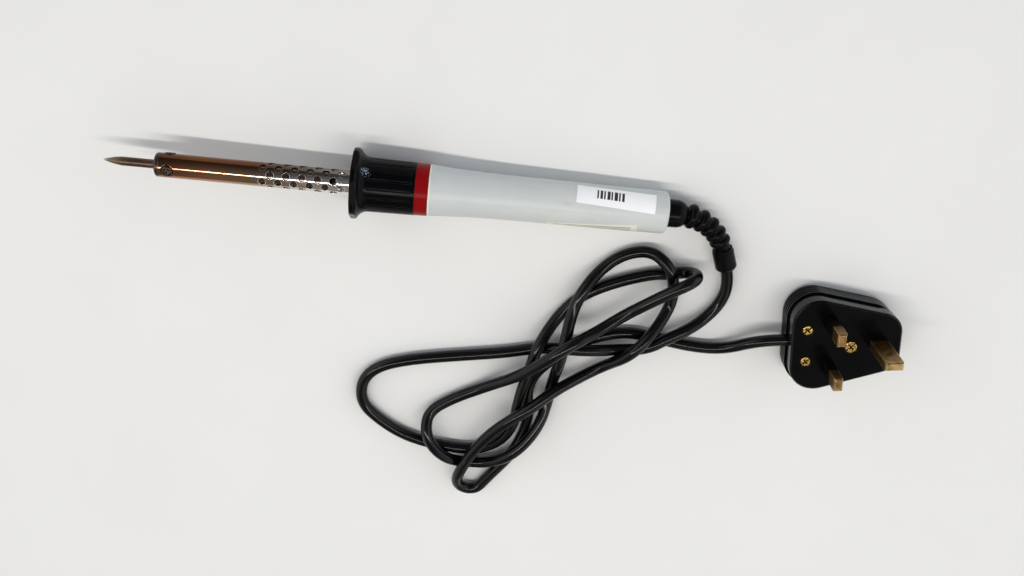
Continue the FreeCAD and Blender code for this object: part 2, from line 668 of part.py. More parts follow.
def screw_tools(x, y, hole, recess):
    return [rod(V(x, y, 8), V(x, y, 25), hole),
            rod(V(x, y, PLUG_FACE_Z - 1.8), V(x, y, 25), recess)]


def plug_cover():
    """Hollow back half with a rounded back and fine grip grooves at its cable end."""
    outline = Part.Face(plug_outline(0.9, 0, COVER_EARTH_CORNER_R))
    body = outline.extrude(V(0, 0, 11.2))
    body = body.makeFillet(3.0, [e for e in body.Edges if e.BoundBox.ZMax < 0.01])
    body = body.fuse(plug_slab(-0.9, 11.2, PLUG_SPLIT_Z - 0.05))
    body = body.cut(plug_slab(-PLUG_WALL - 0.4, 2.4, PLUG_SPLIT_Z + 1))
    screw_x, screw_y = COVER_SCREW
    body = body.fuse(rod(V(screw_x, screw_y, 2), V(screw_x, screw_y, 9.4), 3.4))
    tools = [plug_entry(),
             rod(V(screw_x, screw_y, 3.5), V(screw_x, screw_y, 12), 1.75)]
    for z in (4.6, 6.8, 9.0):
        ring = plug_slab(3, z, z + 0.9).cut(plug_slab(0.35, z - 1, z + 2))
        tools.append(ring.common(box(-30, -4, -40, 40, 0, 20)))
    return cut_all(body, tools)


def power_pin(y):
    """Live or neutral pin: necked where the insulating sleeve grips it, bevelled tip."""
    half_x = 2.0
    half_y = 3.175
    neck = 0.55
    sleeve_top = PLUG_FACE_Z + SLEEVE_LENGTH
    tip = PLUG_FACE_Z + PIN_LENGTH
    bevel = 0.8
    root = pin_box(0, y, half_x, half_y, 9.0, PLUG_FACE_Z - 0.2)
    waist = pin_box(0, y, half_x - neck, half_y - neck, PLUG_FACE_Z - 0.2, sleeve_top)
    blade = pin_box(0, y, half_x, half_y, sleeve_top, tip - bevel)
    end = bevelled_end(0, y, half_x, half_y, tip - bevel, tip, bevel * 0.7)
    return root.fuse(waist).fuse(blade).fuse(end)


def bevelled_end(x, y, half_x, half_y, z0, z1, inset):
    def loop(z, shrink):
        a = half_x - shrink
        b = half_y - shrink
        points = [V(x - a, y - b, z), V(x + a, y - b, z), V(x + a, y + b, z), V(x - a, y + b, z)]
        return Part.makePolygon(points + [points[0]])
    return Part.makeLoft([loop(z0, 0), loop(z1, inset)], True)


def pin_sleeve(y):
    outer = pin_box(0, y, 2.0, 3.175, PLUG_FACE_Z - 0.1, PLUG_FACE_Z + SLEEVE_LENGTH - 0.02)
    inner = pin_box(0, y, 1.46, 2.635, PLUG_FACE_Z - 1, PLUG_FACE_Z + SLEEVE_LENGTH + 1)
    return outer.cut(inner)


def earth_pin():
    tip = PLUG_FACE_Z + EARTH_PIN_LENGTH
    bevel = 0.8
    blade = pin_box(EARTH_PIN_X, 0, 4.0, 2.0, 9.0, tip - bevel)
    return blade.fuse(bevelled_end(EARTH_PIN_X, 0, 4.0, 2.0, tip - bevel, tip, bevel * 0.7))


def fuse():
    middle = rod(V(FUSE_X + 5.5, FUSE_Y, FUSE_Z), V(FUSE_X + 19.9, FUSE_Y, FUSE_Z), 2.9)
    caps = [rod(V(FUSE_X + a, FUSE_Y, FUSE_Z), V(FUSE_X + b, FUSE_Y, FUSE_Z), FUSE_R)
            for a, b in ((0, 5.6), (19.8, 25.4))]
    return middle.fuse(caps[0]).fuse(caps[1])


def fuse_clips():
    """Sprung brass cradles under the fuse's two end caps."""
    clips = []
    for x in (FUSE_X + 2.8, FUSE_X + 22.6):
        ring = rod(V(x - 1.6, FUSE_Y, FUSE_Z), V(x + 1.6, FUSE_Y, FUSE_Z), FUSE_R + 0.6)
        ring = ring.cut(rod(V(x - 3, FUSE_Y, FUSE_Z), V(x + 3, FUSE_Y, FUSE_Z), FUSE_R + 0.05))
        ring = ring.cut(box(x - 3, x + 3, FUSE_Y - 2.2, FUSE_Y + 2.2, 2, FUSE_Z - 1))
        clips.append(ring)
    return group(clips)


def pin_terminals():
    """Screws that hold the three cores at the inner ends of the pins."""
    places = ((0, PIN_HALF_SPACING), (0, -PIN_HALF_SPACING), (EARTH_PIN_X, 0))
    screws = []
    for x, y in places:
        screw = rod(V(x, y, 6.9), V(x, y, 8.95), 1.9)
        screws.append(screw.cut(box(x - 3, x + 3, y - 0.3, y + 0.3, 6, 7.5)))
    return group(screws)


def plug_wires():
    """The three cores, from the sheath's end to the pins."""
    start = SHEATH_END_X + 0.7
    near = PIN_HALF_SPACING - 4.4
    live = wire([V(start, 1.4, CORD_PLUG_Z - 0.6), V(-1.5, near, 10.4)], CORE_R)
    neutral = wire([V(start, -1.4, CORD_PLUG_Z - 0.6), V(-1.5, -near, 10.4)], CORE_R)
    earth = wire([V(start, 0, CORD_PLUG_Z - 2.0), V(7.0, -6.6, 9.0), V(17.6, -3.2, 8.0)], CORE_R)
    return group([live, neutral, earth])


def grip_bar():
    bar = box(GRIP_X - 2.6, GRIP_X + 2.6, -10.6, 10.6, 6.0, 8.5)
    return cut_all(bar, [rod(V(GRIP_X, y, 5), V(GRIP_X, y, 10), 1.3) for y in (-GRIP_HALF, GRIP_HALF)])


def slotted_screw(x, y, z_end, shank, head_r):
    """Brass screw with its cross-slotted head sunk in the pin face."""
    top = PLUG_FACE_Z - 0.1
    head = Part.makeCylinder(head_r, 1.6, V(x, y, top - 1.6))
    head = head.makeFillet(0.4, [head.Edges[0]])
    body = head.fuse(rod(V(x, y, z_end), V(x, y, top - 1.5), shank))
    slot = box(-head_r - 1, head_r + 1, -0.35, 0.35, top - 0.8, top + 1)
    cross = box(-0.35, 0.35, -0.6 * head_r, 0.6 * head_r, top - 0.8, top + 1)
    for tool in (slot, cross):
        tool.rotate(V(0, 0, 0), V(0, 0, 1), 40)
        tool.translate(V(x, y, 0))
    return cut_all(body, [slot, cross])


def grip_screws():
    return group([slotted_screw(GRIP_X, y, 6.2, 1.25, 2.35) for y in (-GRIP_HALF, GRIP_HALF)])


def cover_screw():
    return slotted_screw(COVER_SCREW[0], COVER_SCREW[1], 4.0, 1.6, 2.85)


# ---- the lead ----
def cord():
    path, radii = bent_path(ROUTE)
    tube = pipe(path, CORD_D / 2)
    expected = math.pi * (CORD_D / 2) ** 2 * path.Length
    print("cord length %.1f mm, volume ratio %.4f" % (path.Length, tube.Volume / expected))
    print("cord arc radii", [round(r, 1) for r in radii])
    return tube


def plug_tail():
    """The lead's sheath inside the plug, up to the grip bar."""
    return rod(V(PLUG_CABLE_END - 1.5, 0, CORD_PLUG_Z), V(SHEATH_END_X, 0, CORD_PLUG_Z), CORD_D / 2)


def build():
    iron = {
        "soldering_bit": soldering_bit(),
        "barrel_nose": barrel_nose(),
        "barrel": barrel(),
        "heater_former": heater_former(),
        "heater_winding": heater_winding(),
        "mica_sleeve": mica_sleeve(),
        "rear_insulator": rear_insulator(),
        "front_collar": front_collar(),
        "barrel_flange": barrel_flange(),
        "flange_screws": flange_screws(),
        "red_ring": red_ring(),
        "handle_shell": handle_shell(),
        "asset_label": sticker(*ASSET_LABEL),
        "rating_label": sticker(*RATING_LABEL),
        "terminal_block": terminal_block(),
        "terminal_screws": terminal_screws(),
        "heater_leads": heater_leads(),
        "earth_lead": earth_lead(),
        "cord_clamp": cord_clamp(),
        "cord_clamp_screws": cord_clamp_screws(),
        "core_wires": core_wires(),
    }
    for letter, angle in zip("abc", CLAMP_SCREW_ANGLES):
        iron["clamp_screw_" + letter] = clamp_screw(angle)
    plug = {
        "plug_base": plug_base(),
        "plug_cover": plug_cover(),
        "live_pin": power_pin(PIN_HALF_SPACING),
        "neutral_pin": power_pin(-PIN_HALF_SPACING),
        "live_pin_sleeve": pin_sleeve(PIN_HALF_SPACING),
        "neutral_pin_sleeve": pin_sleeve(-PIN_HALF_SPACING),
        "earth_pin": earth_pin(),
        "fuse": fuse(),
        "fuse_clips": fuse_clips(),
        "pin_terminals": pin_terminals(),
        "plug_wires": plug_wires(),
        "grip_bar": grip_bar(),
        "grip_screws": grip_screws(),
        "cover_screw": cover_screw(),
        "plug_tail": plug_tail(),
    }
    path = relief_path()
    parts = {"strain_relief": strain_relief(path), "cord_inner": cord_inner(path), "cord": cord()}
    parts.update({name: lay_iron(shape) for name, shape in iron.items()})
    parts.update({name: lay_plug(shape) for name, shape in plug.items()})
    return parts


os.makedirs("parts", exist_ok=True)
for name, shape in build().items():
    if not shape.isValid():
        print("not valid:", name)
    shape.exportStep("parts/" + name + ".step")
    print("%-18s solids %d volume %.1f" % (name, len(shape.Solids), shape.Volume))
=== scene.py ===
"""Looks of a soldering iron for stained glass, with its lead and three-pin plug.

Everything is in metres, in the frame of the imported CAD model: +X from the handle to the bit,
+Z up, the bench at Z = 0.
"""
import json
import math

import bpy
from mathutils import Matrix, Vector


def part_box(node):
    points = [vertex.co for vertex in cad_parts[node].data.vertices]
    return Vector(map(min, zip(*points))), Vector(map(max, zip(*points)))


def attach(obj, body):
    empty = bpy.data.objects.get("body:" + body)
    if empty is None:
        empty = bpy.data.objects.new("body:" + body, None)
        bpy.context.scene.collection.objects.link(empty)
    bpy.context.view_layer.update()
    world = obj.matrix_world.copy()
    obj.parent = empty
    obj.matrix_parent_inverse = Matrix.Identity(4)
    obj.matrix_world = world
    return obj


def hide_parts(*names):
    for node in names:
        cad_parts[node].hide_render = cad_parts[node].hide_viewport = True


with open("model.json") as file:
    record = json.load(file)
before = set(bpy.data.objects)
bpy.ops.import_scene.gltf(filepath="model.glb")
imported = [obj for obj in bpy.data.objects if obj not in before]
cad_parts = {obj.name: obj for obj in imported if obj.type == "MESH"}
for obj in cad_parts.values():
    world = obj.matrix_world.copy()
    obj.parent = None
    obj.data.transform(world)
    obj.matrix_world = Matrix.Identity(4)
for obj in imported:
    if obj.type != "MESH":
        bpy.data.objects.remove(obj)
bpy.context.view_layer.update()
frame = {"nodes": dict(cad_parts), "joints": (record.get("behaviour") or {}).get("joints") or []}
nodes = frame["nodes"]
scene = bpy.context.scene

# ---- where things are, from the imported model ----
TIP_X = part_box("soldering_bit")[1].x
NOSE_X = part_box("barrel_nose")[1].x
BARREL_FRONT_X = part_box("barrel")[1].x
FLANGE_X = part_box("front_collar")[1].x
IRON_AXIS = Vector(next(j for j in frame["joints"] if j["name"] == "tip_slide")["axis"])
AXIS_POINT = sum(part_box("barrel"), Vector()) / 2

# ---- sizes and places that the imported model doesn't state ----
GRIP_R = 0.0098
BARREL_R = 0.0053
VENT_R = 0.00165
VENT_PITCH = 0.0068
VENT_ROWS = 10
VENT_FIRST_ANGLE = math.radians(16.4)
VENTS_IN_A_LONG_ROW = 6
# Places along the iron, from the back of its grip.
BARREL_REAR_S = 0.0934
BARREL_FRONT_S = 0.222
FOREMOST_VENT_S = 0.1777
# Half a pitch in front of the foremost vents, from AXIS_POINT.
VENT_FRONT = FOREMOST_VENT_S + VENT_PITCH / 2 - (BARREL_FRONT_S + BARREL_REAR_S) / 2
# The scratched spot on the collar with a painted highlight: its place from AXIS_POINT, its angle
# and its radius from the axis.
SCRATCH_GLINT_PLACE = -0.0247
SCRATCH_GLINT_ANGLE = math.radians(43)
SCRATCH_GLINT_R = 0.0129
# Angle round the grip and slant of each label, in degrees.
WHITE_LABEL = (44.6, -2.9)
CREAM_LABEL = (-73.5, 4.3)
PLUG_FACE_Z = 0.019

# ---- the lead's facts ----
CORD_D = 0.0056
# The lead's control points, as in the CAD source, from the strain relief's cuff to the plug.
ROUTE = [
    (-0.1555, 0.0247, 0.006), (-0.1582, 0.0327, 0.0052), (-0.1565, 0.044, 0.0034),
    (-0.1495, 0.053, 0.0045), (-0.142, 0.0575, 0.008), (-0.134, 0.062, 0.0092),
    (-0.125, 0.0685, 0.0092), (-0.114, 0.0725, 0.004), (-0.098, 0.0728, 0.009),
    (-0.0855, 0.073, 0.009), (-0.0745, 0.0765, 0.0032), (-0.06, 0.0808, 0.0032),
    (-0.038, 0.085, 0.0032), (-0.014, 0.0898, 0.0032), (0.002, 0.0955, 0.0032),
    (0.0095, 0.1045, 0.0032), (0.009, 0.117, 0.0032), (-0.001, 0.126, 0.0032),
    (-0.014, 0.1333, 0.0032), (-0.031, 0.137, 0.0032), (-0.0495, 0.1375, 0.0032),
    (-0.061, 0.1305, 0.0045), (-0.067, 0.1175, 0.009), (-0.068, 0.102, 0.009),
    (-0.0715, 0.084, 0.0096), (-0.074, 0.072, 0.0096), (-0.0815, 0.059, 0.0032),
    (-0.091, 0.047, 0.0032), (-0.106, 0.0385, 0.0032), (-0.122, 0.0326, 0.0032),
    (-0.1305, 0.0315, 0.0032), (-0.1379, 0.0298, 0.0032), (-0.1419, 0.0283, 0.0073),
    (-0.1419, 0.0283, 0.0132), (-0.1379, 0.0299, 0.0173), (-0.131, 0.0345, 0.0169),
    (-0.1205, 0.0433, 0.0142), (-0.111, 0.052, 0.011), (-0.099, 0.0605, 0.0145),
    (-0.089, 0.0645, 0.0207), (-0.079, 0.0735, 0.0207), (-0.067, 0.087, 0.014),
    (-0.053, 0.0995, 0.004), (-0.036, 0.109, 0.0032), (-0.0245, 0.1175, 0.004),
    (-0.024, 0.1265, 0.009), (-0.0285, 0.135, 0.0096), (-0.0365, 0.142, 0.0076),
    (-0.0465, 0.145, 0.0032), (-0.056, 0.1435, 0.0046), (-0.065, 0.137, 0.0092),
    (-0.0735, 0.128, 0.0092), (-0.08, 0.116, 0.0074), (-0.0825, 0.104, 0.0036),
    (-0.0835, 0.092, 0.005), (-0.0845, 0.079, 0.0149), (-0.086, 0.066, 0.0149),
    (-0.0875, 0.054, 0.0095), (-0.091, 0.042, 0.0092), (-0.0985, 0.0325, 0.0036),
    (-0.108, 0.024, 0.0032), (-0.12, 0.0205, 0.004), (-0.1285, 0.025, 0.0092),
    (-0.1323, 0.033, 0.0092), (-0.134, 0.045, 0.004), (-0.1295, 0.055, 0.008),
    (-0.123, 0.0635, 0.013), (-0.116, 0.072, 0.013), (-0.107, 0.0815, 0.005),
    (-0.097, 0.088, 0.006), (-0.084, 0.0952, 0.0112), (-0.074, 0.104, 0.0147),
    (-0.0635, 0.1125, 0.0147), (-0.0545, 0.1235, 0.012), (-0.0475, 0.136, 0.01),
    (-0.0432, 0.145, 0.0112), (-0.0414, 0.1534, 0.0072), (-0.043, 0.1586, 0.0044),
    (-0.0476, 0.1612, 0.0033), (-0.0526, 0.16, 0.0032), (-0.0559, 0.155, 0.0032),
    (-0.0605, 0.1483, 0.0032), (-0.0665, 0.14, 0.0032), (-0.0715, 0.129, 0.0032),
    (-0.0745, 0.115, 0.0032), (-0.0715, 0.101, 0.0032), (-0.074, 0.091, 0.0032),
    (-0.082, 0.0815, 0.0032), (-0.095, 0.0705, 0.0032), (-0.113, 0.063, 0.0032),
    (-0.13, 0.065, 0.0032), (-0.148, 0.0675, 0.0032), (-0.163, 0.0665, 0.004),
    (-0.1764, 0.0568, 0.0112), (-0.1877, 0.0551, 0.0115),
]

# ---- small shader helpers ----
# Cosine of the angle between a face and its rounded edge, where edge wear and painted edge
# highlight start and are full.
EDGE_STARTS = 0.985
EDGE_FULL = 0.9


class Shader:
    """One material's node tree, with short names for the nodes that it uses."""

    def __init__(self, name, colour, roughness, metallic=0.0, **sockets):
        self.material = bpy.data.materials.new(name)
        self.material.use_nodes = True
        self.tree = self.material.node_tree
        self.surface = self.tree.nodes["Principled BSDF"]
        self.surface.inputs["Base Color"].default_value = (*colour, 1.0)
        self.surface.inputs["Roughness"].default_value = roughness
        self.surface.inputs["Metallic"].default_value = metallic
        for socket, value in sockets.items():
            self.surface.inputs[socket.replace("_", " ")].default_value = value
        self.place = self.node("ShaderNodeTexCoord").outputs["Object"]

    def node(self, kind, **settings):
        made = self.tree.nodes.new(kind)
        for key, value in settings.items():
            setattr(made, key, value)
        return made

    def link(self, source, target):
        self.tree.links.new(source, target)

    def feed(self, socket, value):
        """Gives a socket a constant or another node's output."""
        if isinstance(value, bpy.types.NodeSocket):
            self.link(value, socket)
        else:
            socket.default_value = value

    def drive(self, socket, source):
        """Links source to a socket of the surface."""
        self.link(source, self.surface.inputs[socket])

    def noise(self, size, detail=3.0, stretch=(1, 1, 1)):
        """Noise with features about size metres across, stretched along the axes."""
        mapping = self.node("ShaderNodeMapping")
        self.link(self.place, mapping.inputs["Vector"])
        mapping.inputs["Scale"].default_value = tuple(1.0 / (size * s) for s in stretch)
        texture = self.node("ShaderNodeTexNoise")
        self.link(mapping.outputs["Vector"], texture.inputs["Vector"])
        texture.inputs["Scale"].default_value = 1.0
        texture.inputs["Detail"].default_value = detail
        texture.inputs["Roughness"].default_value = 0.5
        return texture.outputs["Fac"]

    def math(self, operation, a, b=0.0):
        made = self.node("ShaderNodeMath", operation=operation)
        self.feed(made.inputs[0], a)
        self.feed(made.inputs[1], b)
        return made.outputs[0]

    def distance(self, a, b):
        """Length of the hypotenuse over sides a and b."""
        squares = self.math("ADD", self.math("POWER", a, 2.0), self.math("POWER", b, 2.0))
        return self.math("SQRT", squares)

    def fit(self, value, low, high, to_low=0.0, to_high=1.0):
        """Maps low..high to to_low..to_high, clamped at both ends."""
        made = self.node("ShaderNodeMapRange")
        self.feed(made.inputs["Value"], value)
        made.inputs["From Min"].default_value = low
        made.inputs["From Max"].default_value = high
        made.inputs["To Min"].default_value = to_low
        made.inputs["To Max"].default_value = to_high
        return made.outputs["Result"]

    def ramp(self, value, stops):
        """Colour ramp from (position, (r, g, b)) stops."""
        made = self.node("ShaderNodeValToRGB")
        elements = made.color_ramp.elements
        while len(elements) < len(stops):
            elements.new(0.5)
        for element, (position, colour) in zip(elements, stops):
            element.position = position
            element.color = (*colour, 1.0)
        self.link(value, made.inputs["Fac"])
        return made.outputs["Color"]

    def mix(self, factor, a, b):
        """Colour a at factor 0, colour b at factor 1."""
        made = self.node("ShaderNodeMix", data_type="RGBA")
        self.feed(made.inputs[0], factor)
        for socket, value in ((made.inputs[6], a), (made.inputs[7], b)):
            self.feed(socket, (*value, 1.0) if isinstance(value, tuple) else value)
        return made.outputs[2]

    def axis(self, index):
        """Coordinate along X, Y or Z (0, 1 or 2)."""
        parts = self.node("ShaderNodeSeparateXYZ")
        self.link(self.place, parts.inputs[0])
        return parts.outputs[index]

    def round_the_iron(self):
        """Distance along the iron's axis from AXIS_POINT, and angle from +Z towards -Y."""
        offset = self.node("ShaderNodeVectorMath", operation="SUBTRACT")
        self.link(self.place, offset.inputs[0])
        offset.inputs[1].default_value = AXIS_POINT
        along = self.node("ShaderNodeVectorMath", operation="DOT_PRODUCT")
        self.link(offset.outputs[0], along.inputs[0])
        along.inputs[1].default_value = IRON_AXIS
        parts = self.node("ShaderNodeSeparateXYZ")
        self.link(offset.outputs[0], parts.inputs[0])
        rise = self.math("MULTIPLY", parts.outputs[0], IRON_AXIS.z / IRON_AXIS.x)
        height = self.math("SUBTRACT", parts.outputs[2], rise)
        angle = self.math("ARCTAN2", self.math("MULTIPLY", parts.outputs[1], -1.0), height)
        return along.outputs["Value"], angle

    def edge_wear_and_highlight(self, radius, size, stretch=(1, 1, 1)):
        """Patchy mask that is 1 on outer and inner corners, within radius metres of them: partly
        edge wear, partly painted edge highlight.
        """
        rounded = self.node("ShaderNodeBevel", samples=6)
        rounded.inputs["Radius"].default_value = radius
        flat = self.node("ShaderNodeNewGeometry")
        facing = self.node("ShaderNodeVectorMath", operation="DOT_PRODUCT")
        self.link(rounded.outputs["Normal"], facing.inputs[0])
        self.link(flat.outputs["Normal"], facing.inputs[1])
        edge = self.fit(facing.outputs["Value"], EDGE_STARTS, EDGE_FULL)
        patches = self.fit(self.noise(size, 4.0, stretch), 0.35, 0.65, 0.15, 1.0)
        return self.math("MULTIPLY", edge, patches)

    def relief(self, height, strength, distance, edge=0.0):
        """Bump from a height, over edges that are rounded by edge metres."""
        bump = self.node("ShaderNodeBump")
        bump.inputs["Strength"].default_value = strength
        bump.inputs["Distance"].default_value = distance
        self.link(height, bump.inputs["Height"])
        if edge:
            rounded = self.node("ShaderNodeBevel", samples=6)
            rounded.inputs["Radius"].default_value = edge
            self.link(rounded.outputs["Normal"], bump.inputs["Normal"])
        self.drive("Normal", bump.outputs["Normal"])


def moulded_plastic(name, colour, roughness, edge=0.0003, **sockets):
    """Plastic with a fine moulded grain, cloudy wear in its gloss and rounded edges."""
    shader = Shader(name, colour, roughness, **sockets)
    wear = 0.06
    cloud = shader.noise(0.012, 4.0)
    grain = shader.noise(0.0004, 2.0)
    shader.drive("Roughness", shader.fit(cloud, 0.3, 0.7, roughness - wear, roughness + wear))
    darker = tuple(c * 0.86 for c in colour)
    lighter = tuple(min(1.0, c * 1.08) for c in colour)
    shader.drive("Base Color", shader.mix(cloud, darker, lighter))
    shader.relief(grain, 0.12, 0.0001, edge)
    return shader.material


def worn_metal(name, colour, roughness, edge=0.0002):
    """Metal with fine pits and patchy tarnish."""
    shader = Shader(name, colour, roughness, metallic=1.0)
    pits = shader.noise(0.0012, 4.0)
    patch = shader.noise(0.004, 3.0)
    shader.drive("Roughness", shader.fit(patch, 0.3, 0.7, roughness - 0.07, roughness + 0.09))
    dull = tuple(c * 0.72 for c in colour)
    shader.drive("Base Color", shader.mix(shader.fit(patch, 0.35, 0.65), dull, colour))
    shader.relief(pits, 0.15, 0.00005, edge)
    return shader.material


# ---- materials ----
def bit_metal():
    """Plated copper, brown from heat by the nose, olive and then tinned at the point."""
    shader = Shader("bit_metal", (0.4, 0.34, 0.28), 0.36, metallic=1.0)
    along = shader.fit(shader.axis(0), NOSE_X, TIP_X)
    blotch = shader.noise(0.003, 3.0, (2, 1, 1))
    shifted = shader.math("ADD", along, shader.fit(blotch, 0.3, 0.7, -0.09, 0.09))
    colour = shader.ramp(shifted, [
        (0.0, (0.15, 0.10, 0.09)), (0.22, (0.12, 0.075, 0.06)), (0.5, (0.11, 0.068, 0.044)),
        (0.72, (0.15, 0.11, 0.062)), (0.9, (0.20, 0.155, 0.10)), (1.0, (0.42, 0.37, 0.30))])
    shader.drive("Base Color", colour)
    shader.drive("Roughness", shader.fit(blotch, 0.3, 0.7, 0.26, 0.42))
    scratch = shader.noise(0.0004, 3.0, (14, 1, 1))
    shader.relief(scratch, 0.25, 0.00005, 0.00015)
    return shader.material


def vent_rims(shader, place, angle):
    """1 on the rim of each vent, where a painted highlight goes, from a place along the axis and
    an angle round it.

    Every other row is short: it has one vent fewer and is half a pitch out of step.
    """
    step = math.tau / VENT_ROWS
    row = shader.math("DIVIDE", shader.math("SUBTRACT", angle, VENT_FIRST_ANGLE - step / 2), step)
    row = shader.math("ADD", row, VENT_ROWS + 1)
    short = shader.math("MODULO", shader.math("FLOOR", row), 2.0)
    across = shader.math("SUBTRACT", shader.math("FRACT", row), 0.5)
    across = shader.math("MULTIPLY", across, step * BARREL_R)
    count = shader.math("DIVIDE", shader.math("SUBTRACT", VENT_FRONT, place), VENT_PITCH)
    count = shader.math("ADD", count, shader.math("MULTIPLY", short, 0.5))
    along = shader.math("SUBTRACT", shader.math("FRACT", count), 0.5)
    along = shader.math("MULTIPLY", along, VENT_PITCH)
    # Nothing in front of the row's first vent or behind its last.
    behind = shader.fit(shader.math("SUBTRACT", count, short), 0.0, 0.05)
    ahead = shader.fit(count, VENTS_IN_A_LONG_ROW, VENTS_IN_A_LONG_ROW - 0.05)
    rim = shader.fit(shader.distance(across, along), VENT_R + 0.00025, VENT_R + 0.0001)
    return shader.math("MULTIPLY", rim, shader.math("MULTIPLY", behind, ahead))


def barrel_steel():
    """Polished tube: dark bronze by the screws, straw in the middle, silver by the flange.

    The side towards -Y is painted darker, as painted shade standing in for the dim room that the
    tube reflects.
    """
    shader = Shader("barrel_steel", (0.6, 0.46, 0.32), 0.15, metallic=1.0)
    along = shader.fit(shader.axis(0), BARREL_FRONT_X, FLANGE_X)
    streak = shader.noise(0.0035, 3.0, (6, 1, 1))
    drift = shader.fit(streak, 0.3, 0.7, -0.07, 0.07)
    shifted = shader.math("ADD", along, drift)
    light_side = shader.ramp(shifted, [
        (0.0, (0.20, 0.115, 0.07)), (0.12, (0.41, 0.17, 0.095)), (0.3, (0.47, 0.25, 0.145)),
        (0.47, (0.38, 0.27, 0.165)), (0.6, (0.46, 0.37, 0.29)), (0.75, (0.72, 0.67, 0.62)),
        (1.0, (0.86, 0.84, 0.81))])
    # Painted shade: a darker copy of the tint, painted where the tube would reflect the dim room.
    painted_shade_tint = shader.ramp(shifted, [
        (0.0, (0.09, 0.045, 0.026)), (0.2, (0.17, 0.062, 0.026)), (0.45, (0.14, 0.058, 0.027)),
        (0.62, (0.10, 0.065, 0.045)), (0.78, (0.15, 0.125, 0.105)), (1.0, (0.24, 0.21, 0.19))])
    place, angle = shader.round_the_iron()
    # Mask of the painted shade: on the side towards -Y, fading out underneath.
    side = shader.fit(shader.math("ADD", angle, drift), math.radians(8), math.radians(42))
    round_about = shader.math("ABSOLUTE", angle)
    below = shader.fit(round_about, math.radians(120), math.radians(150), 1.0, 0.3)
    painted_shade = shader.math("MULTIPLY", side, below)
    tint = shader.mix(painted_shade, light_side, painted_shade_tint)
    # Painted highlight on the vent rims, turned to painted shade where the tube is painted dark.
    painted_rim_light_and_shade = shader.mix(painted_shade, (0.92, 0.87, 0.80), (0.17, 0.12, 0.09))
    shader.drive("Base Color", shader.mix(vent_rims(shader, place, angle), tint, painted_rim_light_and_shade))
    cloud = shader.noise(0.006, 4.0, (3, 1, 1))
    shader.drive("Roughness", shader.fit(cloud, 0.3, 0.7, 0.06, 0.12))
    scratch = shader.noise(0.0003, 3.0, (30, 1, 1))
    shader.relief(scratch, 0.06, 0.00003, 0.00035)
    return shader.material


def handle_plastic():
    """Milky blue-grey moulding, a little grubby where held, with a painted cream highlight along
    its front edge.
    """
    shader = Shader("handle_plastic", (0.51, 0.545, 0.545), 0.42, Subsurface_Weight=0.15)
    shader.surface.inputs["Subsurface Radius"].default_value = (0.0012, 0.0012, 0.0012)
    shader.surface.inputs["Subsurface Scale"].default_value = 1.0
    cloud = shader.noise(0.03, 4.0)
    smear = shader.noise(0.004, 4.0, (3, 1, 1))
    clean = shader.mix(shader.fit(cloud, 0.3, 0.7), (0.54, 0.575, 0.58), (0.59, 0.615, 0.60))
    grubby = shader.fit(smear, 0.56, 0.78, 0.0, 0.35)
    worn = shader.mix(grubby, clean, (0.44, 0.45, 0.42))
    along, _ = shader.round_the_iron()
    front = (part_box("handle_shell")[1].x - AXIS_POINT.x) / IRON_AXIS.x - 0.0004
    # Painted highlight: a cream line along the front edge, where its chamfer would catch the
    # light.
    painted_lip_highlight = shader.fit(along, front - 0.0009, front - 0.0006)
    shader.drive("Base Color", shader.mix(painted_lip_highlight, worn, (0.86, 0.82, 0.72)))
    shader.drive("Roughness", shader.fit(cloud, 0.3, 0.7, 0.36, 0.48))
    shader.relief(shader.noise(0.0005, 2.0), 0.08, 0.0001, 0.0003)
    return shader.material


def rubber():
    """Black rubber of uneven gloss."""
    shader = Shader("relief_rubber", (0.002, 0.002, 0.0022), 0.24, IOR=1.18)
    cloud = shader.noise(0.006, 4.0)
    shader.drive("Roughness", shader.fit(cloud, 0.3, 0.7, 0.17, 0.3))
    shader.drive("Base Color", shader.mix(cloud, (0.0015, 0.0015, 0.0017), (0.003, 0.003, 0.0033)))
    shader.relief(shader.noise(0.0007, 3.0), 0.15, 0.0001, 0.0003)
    return shader.material


def cord_pvc():
    """Glossy flexible PVC with slight unevenness from its twisted cores."""
    shader = Shader("cord_sheath", (0.002, 0.002, 0.0022), 0.2, IOR=1.32)
    cloud = shader.noise(0.01, 3.0)
    shader.drive("Roughness", shader.fit(cloud, 0.3, 0.7, 0.12, 0.21))
    shader.drive("Base Color", shader.mix(cloud, (0.0015, 0.0015, 0.0017), (0.003, 0.003, 0.0032)))
    waves = shader.noise(0.008, 1.0)
    shader.relief(waves, 0.15, 0.0005)
    return shader.material


def pin_brass():
    """Brown aged brass, brighter towards the pins' ends."""
    shader = Shader("pin_brass", (0.5, 0.36, 0.18), 0.34, metallic=0.85)
    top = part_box("earth_pin")[1].z
    rise = shader.fit(shader.axis(2), PLUG_FACE_Z, top)
    patch = shader.noise(0.0025, 4.0)
    shifted = shader.math("ADD", rise, shader.fit(patch, 0.3, 0.7, -0.18, 0.18))
    colour = shader.ramp(shifted, [
        (0.0, (0.12, 0.06, 0.022)), (0.5, (0.15, 0.08, 0.024)), (0.85, (0.24, 0.14, 0.048)),
        (1.0, (0.40, 0.27, 0.105))])
    # Lighter edges: partly wear, partly painted edge highlight.
    bright = shader.edge_wear_and_highlight(0.0005, 0.001)
    shader.drive("Base Color", shader.mix(bright, colour, (0.86, 0.70, 0.44)))
    shader.drive("Roughness", shader.fit(patch, 0.3, 0.7, 0.26, 0.42))
    shader.relief(shader.noise(0.0003, 3.0, (1, 1, 12)), 0.2, 0.00005, 0.0002)
    return shader.material


